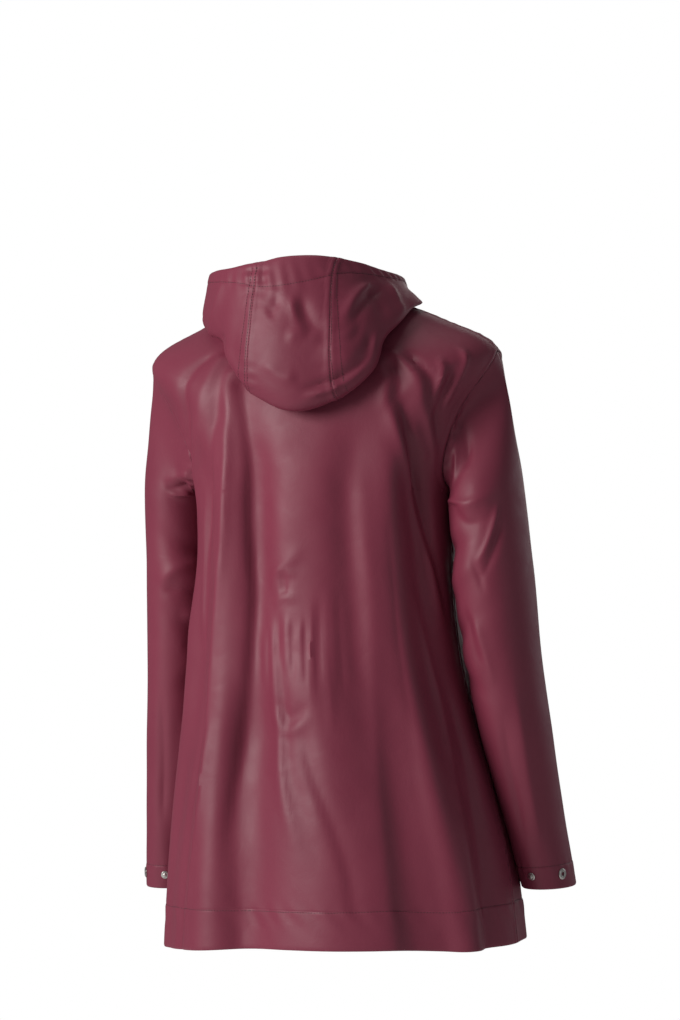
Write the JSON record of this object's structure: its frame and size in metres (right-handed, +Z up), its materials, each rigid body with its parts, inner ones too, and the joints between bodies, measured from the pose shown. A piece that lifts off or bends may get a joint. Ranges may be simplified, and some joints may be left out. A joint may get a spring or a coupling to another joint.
{
  "type": "raincoat",
  "caption": "Hooded A-line raincoat in coated cloth, worn on a general figure, hood down, with set-in sleeves, snap placket, cuff snaps and turned-up hem.",
  "frame": {"origin": "midway between the neck ends of the two shoulder seams, where the wearer's shoulders carry the coat", "axes": "+Z up the body, +Y out of the back, -Y out of the front, +X towards the left sleeve"},
  "size_m": [0.542, 0.3424, 0.8],
  "materials": {
    "coated_cloth": "satin coated",
    "snap_metal": "nickel plated"
  },
  "bodies": {
    "root": {"back": "coated_cloth", "front_left": "coated_cloth", "front_right": "coated_cloth", "sleeve_left_back": "coated_cloth", "sleeve_left_front": "coated_cloth", "sleeve_right_back": "coated_cloth", "sleeve_right_front": "coated_cloth", "front_placket": "coated_cloth", "hood_centre": "coated_cloth", "hood_left": "coated_cloth", "hood_right": "coated_cloth", "placket_snap_1": "snap_metal", "placket_snap_2": "snap_metal", "placket_snap_3": "snap_metal", "placket_snap_4": "snap_metal", "placket_snap_5": "snap_metal", "placket_snap_6": "snap_metal", "cuff_stud_left": "snap_metal", "cuff_socket_left": "snap_metal", "cuff_stud_right": "snap_metal", "cuff_socket_right": "snap_metal"}
  },
  "joints": []
}
